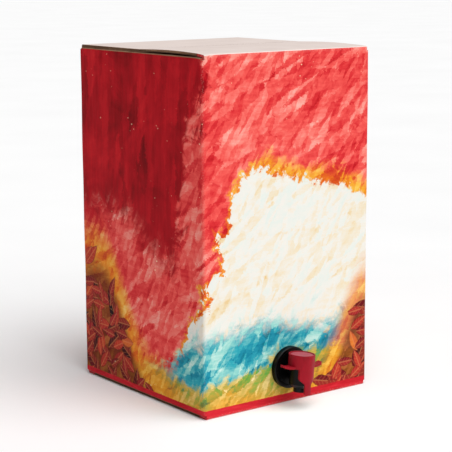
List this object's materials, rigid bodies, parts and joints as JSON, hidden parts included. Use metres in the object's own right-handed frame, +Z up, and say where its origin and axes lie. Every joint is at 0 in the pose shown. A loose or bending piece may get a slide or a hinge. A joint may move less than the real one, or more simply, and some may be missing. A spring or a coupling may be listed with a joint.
{
  "type": "bag in box carton",
  "caption": "Glued corrugated carton holding a filled drinks bag, with a spring-return press tap low on its front wall that turns in its gland.",
  "frame": {"origin": "on the floor, in the middle of the whole object's box, tap included", "axes": "+Z up, -Y out of the front wall that carries the tap, +X to the right seen from the front"},
  "size_m": [0.234, 0.28, 0.395],
  "materials": {
    "printed_board": "corrugated board with a printed, lightly varnished outer liner and raw brown edges",
    "bag_film": "metallised film bag filled with drink",
    "black_plastic": "moulded black plastic, satin",
    "red_plastic": "moulded red plastic, satin",
    "red_button": "soft-touch red plastic, matt",
    "soft_seal": "soft moulded sealing rubber",
    "white_plastic": "moulded natural plastic"
  },
  "bodies": {
    "filled_carton": {"carton": "printed_board", "wine_bag": "bag_film", "gland": "black_plastic"},
    "tap": {"tap_body": "black_plastic", "tap_hood": "red_plastic", "diaphragm": "soft_seal"},
    "button": {"press_button": "red_button", "valve_stem": "white_plastic", "valve_plug": "soft_seal"}
  },
  "joints": [
    {"name": "tap_turn", "type": "hinge", "parent": "filled_carton", "child": "tap", "pos_m": [-0.0008, -0.10205, 0.0415], "axis": [0, -1, 0], "continuous": true},
    {"name": "button_press", "type": "slide", "parent": "tap", "child": "button", "axis": [-0.0872, 0, -0.9962], "range_m": [0, 0.004], "stiffness_N_per_m": 3500, "springref_m": -0.001, "deforming": ["diaphragm"]}
  ]
}
